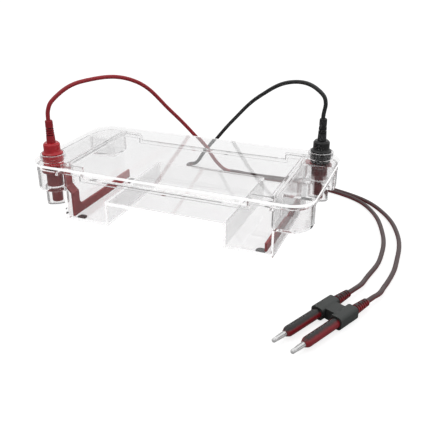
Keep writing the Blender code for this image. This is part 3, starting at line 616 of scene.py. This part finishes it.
def build_lock_nut(side):
    """Knurled round nut under the lid."""
    node = f"{side}_lock_nut"
    low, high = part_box(node)
    outer, bore, edge = (high.x - low.x) / 2, SPIGOT_R + GAP, 0.4 * MM
    steps = NUT_TEETH * 4
    outline = [(bore, low.z), (outer - edge, low.z), (outer, low.z + edge), (outer, high.z - edge),
               (outer - edge, high.z), (bore, high.z)]

    def knurl(index, angle, radius):
        if index not in (2, 3):
            return radius
        return radius - (NUT_TOOTH_DEPTH if round(angle / (2 * pi) * steps) % 4 < 2 else 0.0)

    made = lathe(f"{side}_nut_ring", outline, f"{side}_plastic", axis_of(node), segments=steps,
                 radius_at=knurl)
    return stand_for(made, node)


def build_socket_holder(side):
    """Funnel, neck and barrel that carry the contact pin in the pod."""
    node = f"{side}_socket_holder"
    low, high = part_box(node)
    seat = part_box(f"{side}_contact_pin")
    mouth = (high.x - low.x) / 2
    barrel, neck, bore, pocket, wall = 6.0 * MM, 8.8 * MM, 2.3 * MM, 4.7 * MM, 2.0 * MM
    neck_z0, neck_z1, mouth_z = low.z + 17.5 * MM, high.z - 4.8 * MM, high.z - 2.7 * MM
    seat_z = low.z + 22.0 * MM
    pocket_z = seat[0].z + 4.0 * MM
    corners = [(pocket, low.z, 0.3 * MM), (barrel, low.z, 0.6 * MM), (barrel, neck_z0 - 1.0 * MM, 0.3 * MM),
               (neck, neck_z0, 0.5 * MM), (neck, neck_z1, 0.8 * MM), (mouth, mouth_z, 0.6 * MM),
               (mouth, high.z, 0.4 * MM), (mouth - wall, high.z, 0.4 * MM),
               (neck - wall, neck_z1 + wall, 0.4 * MM), (neck - wall, seat_z, 0.2 * MM),
               (bore, seat_z, 0.2 * MM), (bore, pocket_z, 0.2 * MM), (pocket, pocket_z, 0.0)]
    slot = "maroon_plastic" if side == "red" else "dark_electrode_plastic"
    made = lathe(f"{side}_holder_funnel", filleted(corners), slot, axis_of(node))
    return stand_for(made, node)


# ------------------------------------------------------------------ power plug

def plug_frame():
    """World matrix at the middle of the plug block; its Z axis points the way the pins point."""
    joint = next(j for j in frame["joints"] if j["child"] == "power_plug")
    heading = Vector(joint["axis"]).normalized()
    low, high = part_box("plug_block")
    side = Vector((0.0, 0.0, 1.0)).cross(heading)
    turn = Matrix((Vector((0.0, 0.0, -1.0)), side, heading)).transposed().to_4x4()
    return Matrix.Translation((low + high) / 2) @ turn


def along_plug(node, place):
    """Lowest and highest local corners of a CAD node in the plug's own frame."""
    back = place.inverted()
    points = [back @ vertex.co for vertex in frame["nodes"][node].data.vertices]
    low = Vector(min(point[i] for point in points) for i in range(3))
    high = Vector(max(point[i] for point in points) for i in range(3))
    return low, high


def build_grip(side, place):
    """Strain relief with staggered slots, plain barrel and a chamfered shroud round the pin."""
    node = f"{side}_banana_grip"
    low, high = along_plug(node, place)
    block = along_plug("plug_block", place)
    cage = along_plug(f"{side}_banana_cage", place)
    axis = place @ Matrix.Translation((0.0, (low.y + high.y) / 2, 0.0))
    pocket = (cage[1].y - cage[0].y) / 2 + GAP / 2
    back, front, block_back = low.z, high.z, block[0].z
    start = [(LEAD_BORE, back), (RELIEF_R - 0.25 * MM, back), (RELIEF_R - 0.05 * MM, back + 0.4 * MM)]
    slots = relief_outline(back + 1.0 * MM, block_back - 1.5 * MM, RELIEF_R, GRIP_R, GRIP_SLOTS)
    body = filleted([(GRIP_R, block_back - 0.8 * MM, 0.2 * MM), (GRIP_R, block_back - 0.2 * MM, 0.0),
                     (GRIP_R, front - GRIP_NOSE, 1.2 * MM), (GRIP_R - GRIP_NOSE_SET, front, 0.5 * MM),
                     (pocket, front, 0.1 * MM), (pocket, front - POCKET_DEPTH, 0.0),
                     (0.0, front - POCKET_DEPTH, 0.0)])
    outline = start + slots + body + [(0.0, back + LEAD_HOLE), (LEAD_BORE, back + LEAD_HOLE)]
    cuts = staggered_slots(len(start), GRIP_SLOTS, GRIP_SLOT_DEPTH)
    made = lathe(f"{side}_banana_shell", closed_on_axis(outline), f"{side}_grip", axis,
                 radius_at=shifted(cuts, outline))
    return stand_for(made, node)


def closed_on_axis(outline):
    """Turn a closed outline that touches the axis, so that it starts and ends on it."""
    last = max(index for index, (radius, _) in enumerate(outline) if radius < 1e-7)
    return outline[last:] + outline[:last]


def shifted(radius_at, outline):
    """The same radius change for an outline that closed_on_axis has turned."""
    last = max(index for index, (radius, _) in enumerate(outline) if radius < 1e-7)
    return lambda index, angle, radius: radius_at((index + last) % len(outline), angle, radius)


def build_cage(side, place):
    """Sprung contact of one banana plug: two rings joined by bowed leaves."""
    node = f"{side}_banana_cage"
    low, high = along_plug(node, place)
    axis = place @ Matrix.Translation((0.0, (low.y + high.y) / 2, 0.0))
    outer = (high.y - low.y) / 2
    inner = 1.72 * MM
    length = high.z - low.z
    steps, segments, gap = 14, 72, 3
    bm = bmesh.new()
    rows = []
    for row in range(steps + 1):
        t = row / steps
        bow = sin(pi * min(1.0, max(0.0, (t - 0.12) / 0.76)))
        radius = inner + 0.05 * MM + (outer - inner - 0.2 * MM) * bow
        rows.append([bm.verts.new((radius * cos(2 * pi * s / segments), radius * sin(2 * pi * s / segments),
                                   low.z + t * length)) for s in range(segments)])
    for row in range(steps):
        for s in range(segments):
            in_gap = s % (segments // LEAVES) < gap and 1 < row < steps - 2
            if not in_gap:
                after = (s + 1) % segments
                bm.faces.new((rows[row][s], rows[row][after], rows[row + 1][after], rows[row + 1][s]))
    bmesh.ops.delete(bm, geom=[v for v in bm.verts if not v.link_faces], context="VERTS")
    made = finished(f"{side}_cage_leaves", bm, "nickel_plate")
    made.matrix_world = axis
    thick = made.modifiers.new("leaf thickness", "SOLIDIFY")
    thick.thickness = LEAF
    thick.offset = 1.0
    return stand_for(made, node)


def build_pin(side, place):
    """Solid core of one banana plug with a rounded end."""
    node = f"{side}_banana_pin"
    low, high = along_plug(node, place)
    axis = place @ Matrix.Translation((0.0, (low.y + high.y) / 2, 0.0))
    head = (high.y - low.y) / 2
    foot_z = low.z + PIN_FOOT
    corners = [(0.0, low.z, 0.0), (head, low.z, 0.2 * MM), (head, foot_z, 0.2 * MM),
               (PIN_R, foot_z, 0.0), (PIN_R, high.z - 2.0 * MM, 0.2 * MM),
               (head * 0.93, high.z - 1.9 * MM, 0.2 * MM), (head * 0.9, high.z - 0.9 * MM, 0.5 * MM),
               (PIN_R * 0.7, high.z, 0.4 * MM), (0.0, high.z, 0.0)]
    made = lathe(f"{side}_pin_core", filleted(corners), "nickel_plate", axis, segments=48)
    return stand_for(made, node)


# ------------------------------------------------------------------ leads

def centreline(node, plug):
    """Middle of each ring of vertices of a CAD lead, from its lid plug to its banana plug. A ring is
    added up in the order of its vertices, so that each run gives the same middle."""
    bm = bmesh.new()
    bm.from_mesh(frame["nodes"][node].data)
    bmesh.ops.remove_doubles(bm, verts=bm.verts, dist=SAME_PLACE)
    bm.verts.index_update()
    low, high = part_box(plug)
    near = [v for v in bm.verts
            if low.x < v.co.x < high.x and low.y < v.co.y < high.y and v.co.z > low.z - 10.0 * MM]
    lowest = min(v.co.z for v in near)
    layer = {v for v in near if v.co.z < lowest + SAME_HEIGHT}
    seen, middles = set(), []
    while layer:
        seen |= layer
        ring = sorted(layer, key=lambda v: v.index)
        middles.append(sum((v.co for v in ring), Vector()) / len(ring))
        layer = {edge.other_vert(v) for v in layer for edge in v.link_edges} - seen
    bm.free()
    return middles


def tube(name, path, material):
    """Round flexible lead along a path, closed at both ends, as a mesh."""
    curve = bpy.data.curves.new(name, "CURVE")
    curve.dimensions = "3D"
    curve.bevel_depth = LEAD_R
    curve.bevel_resolution = (LEAD_SIDES - 4) // 4
    curve.use_fill_caps = True
    curve.resolution_u = 3
    spline = curve.splines.new("BEZIER")
    spline.bezier_points.add(len(path) - 1)
    for point, place in zip(spline.bezier_points, path):
        point.co = place
        point.handle_left_type = "AUTO"
        point.handle_right_type = "AUTO"
    guide = bpy.data.objects.new(name, curve)
    bpy.context.scene.collection.objects.link(guide)
    bpy.context.view_layer.update()
    mesh = bpy.data.meshes.new_from_object(guide.evaluated_get(bpy.context.evaluated_depsgraph_get()))
    bpy.data.objects.remove(guide)
    mesh.shade_smooth()
    mesh.set_sharp_from_angle(angle=radians(50))
    mesh.materials.clear()
    mesh.materials.append(MATERIALS[material])
    made = bpy.data.objects.new(name, mesh)
    bpy.context.scene.collection.objects.link(made)
    return made


def build_lead(side):
    """The lead in two pieces that meet where it comes down to the table: the upper one runs
    between the lid and the tank, and the lower one between the tank and the power plug."""
    node = f"{side}_lead"
    path = centreline(node, f"{side}_boot")
    table_z = min(point.z for point in path) + SAME_HEIGHT
    landing = next(i for i, point in enumerate(path) if point.z < table_z)
    upper = tube(f"{side}_lead_upper", path[:landing + 1], f"{side}_cable")
    lower = tube(f"{side}_lead_lower", path[landing:], "table_cable")
    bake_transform(upper)
    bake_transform(lower)
    for made in (upper, lower):
        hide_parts(node)


# ------------------------------------------------------------------ floor, light, camera

def looked_through(tree):
    """1 for what is seen straight on, through clear walls or along inside one; 0 for mirrored light."""
    path = add(tree, "ShaderNodeLightPath")
    single = add(tree, "ShaderNodeMath", operation="COMPARE")
    single.inputs[1].default_value = 1.5
    single.inputs[2].default_value = 0.6
    tree.links.new(path.outputs["Glossy Depth"], single.inputs[0])
    passed = add(tree, "ShaderNodeMath", operation="SUBTRACT")
    passed.use_clamp = True
    tree.links.new(path.outputs["Is Transmission Ray"], passed.inputs[0])
    tree.links.new(single.outputs["Value"], passed.inputs[1])
    seen = add(tree, "ShaderNodeMath", operation="MAXIMUM")
    tree.links.new(path.outputs["Is Camera Ray"], seen.inputs[0])
    tree.links.new(passed.outputs["Value"], seen.inputs[1])
    return seen.outputs["Value"]


def build_floor():
    """Pale table top; it looks lit from below where it is seen, and dim where it is mirrored."""
    bm = bmesh.new()
    bmesh.ops.create_grid(bm, x_segments=1, y_segments=1, size=FLOOR_HALF)
    mesh = bpy.data.meshes.new("floor")
    bm.to_mesh(mesh)
    bm.free()
    made, tree, shader = new_material("pale_floor")
    tone = between(tree, grain(tree, 3.0, detail=2.0), 0.0, 1.0)
    low, high = ((level, level, level) for level in FLOOR_TONES)
    tree.links.new(mixed(tree, tone, low, high), shader.inputs["Base Color"])
    shader.inputs["Roughness"].default_value = 0.9
    shader.inputs["Specular IOR Level"].default_value = 0.0
    shader.inputs["Emission Color"].default_value = (1.0, 1.0, 1.0, 1.0)
    shader.inputs["Emission Strength"].default_value = FLOOR_GLOW
    dim = add(tree, "ShaderNodeBsdfDiffuse", Color=(MIRRORED_FLOOR, MIRRORED_FLOOR, MIRRORED_FLOOR, 1.0))
    show_either(tree, looked_through(tree), dim, shader)
    mesh.materials.append(made)
    floor = bpy.data.objects.new("floor", mesh)
    floor.location.z = TABLE_Z
    bpy.context.scene.collection.objects.link(floor)


def build_light():
    """Soft surroundings, brightest behind the tank and overhead, with two weak area lamps."""
    world = bpy.data.worlds.new("studio")
    bpy.context.scene.world = world
    world.use_nodes = True
    tree = world.node_tree
    place = add(tree, "ShaderNodeTexCoord")
    parts = add(tree, "ShaderNodeSeparateXYZ")
    tree.links.new(place.outputs["Generated"], parts.inputs["Vector"])
    total = add(tree, "ShaderNodeMath", operation="ADD")
    tree.links.new(between(tree, parts.outputs["Y"], 0.32, 0.80, -0.5, 0.7), total.inputs[0])
    tree.links.new(between(tree, parts.outputs["Z"], 0.0, 0.35, 0.3, 1.0), total.inputs[1])
    level = add(tree, "ShaderNodeMix", data_type="FLOAT")
    tree.links.new(looked_through(tree), level.inputs["Factor"])
    tree.links.new(total.outputs["Value"], level.inputs["A"])
    level.inputs["B"].default_value = SEEN_LIGHT
    tree.nodes["Background"].inputs["Color"].default_value = (1.0, 1.0, 1.0, 1.0)
    tree.links.new(level.outputs["Result"], tree.nodes["Background"].inputs["Strength"])
    for name, location, size, power in (("key", (-0.5, -0.5, 1.6), 1.0, 2.5),
                                        ("fill", (1.3, -0.6, 1.1), 0.9, 1.5)):
        data = bpy.data.lights.new(name, "AREA")
        data.energy = power
        data.size = size
        lamp = bpy.data.objects.new(name, data)
        lamp.location = location
        lamp.rotation_euler = (-Vector(location)).to_track_quat("-Z", "Y").to_euler()
        bpy.context.scene.collection.objects.link(lamp)


def build_camera():
    data = bpy.data.cameras.new("camera")
    data.lens = CAMERA_LENS
    data.sensor_width = CAMERA_SENSOR
    camera = bpy.data.objects.new("camera", data)
    camera.location = CAMERA_PLACE
    flat = cos(CAMERA_ELEVATION)
    looking = Vector((-sin(CAMERA_AZIMUTH) * flat, cos(CAMERA_AZIMUTH) * flat, -sin(CAMERA_ELEVATION)))
    camera.rotation_euler = looking.to_track_quat("-Z", "Y").to_euler()
    bpy.context.scene.collection.objects.link(camera)
    bpy.context.scene.camera = camera


def set_light_paths():
    """Enough bounces for light to pass through all the clear walls, and plain colour output."""
    scene = bpy.context.scene
    scene.view_settings.view_transform = "Standard"
    scene.cycles.max_bounces = 64
    scene.cycles.transmission_bounces = 48
    scene.cycles.glossy_bounces = 48
    scene.cycles.transparent_max_bounces = 48


# ------------------------------------------------------------------ whole object

def build_tank():
    refined("tank_base", "clear_acrylic", 0.3 * MM, plates=tank_plates)
    refined("lid_shell", "clear_lid", 0.25 * MM, plates=lid_plates)
    for corner in ("front_left", "front_right", "back_right", "back_left"):
        refined(f"foot_{corner}", "foot_rubber", 0.3 * MM)


def build_side(side):
    slot = "maroon_plastic" if side == "red" else "dark_electrode_plastic"
    refined(f"{side}_electrode_arm", slot, 0.4 * MM)
    build_socket_holder(side)
    build_collar(side)
    build_plug_body(side)
    build_boot(side)
    build_lock_nut(side)
    refined(f"{side}_pin_nut", "nickel_plate", 0.2 * MM)
    for part, material in (("contact_pin", "gold_plate"), ("socket_sleeve", "nickel_plate"),
                           ("platinum_wire", "platinum")):
        node = frame["nodes"][f"{side}_{part}"]
        node.data.materials.clear()
        node.data.materials.append(MATERIALS[material])
    build_lead(side)


def build_power_plug():
    place = plug_frame()
    refined("plug_block", "grey_plastic", 0.9 * MM, segments=4)
    for side in SIDES:
        build_grip(side, place)
        build_cage(side, place)
        build_pin(side, place)


build_tank()
for side_name in SIDES:
    build_side(side_name)
build_power_plug()
build_floor()
build_light()
build_camera()
set_light_paths()
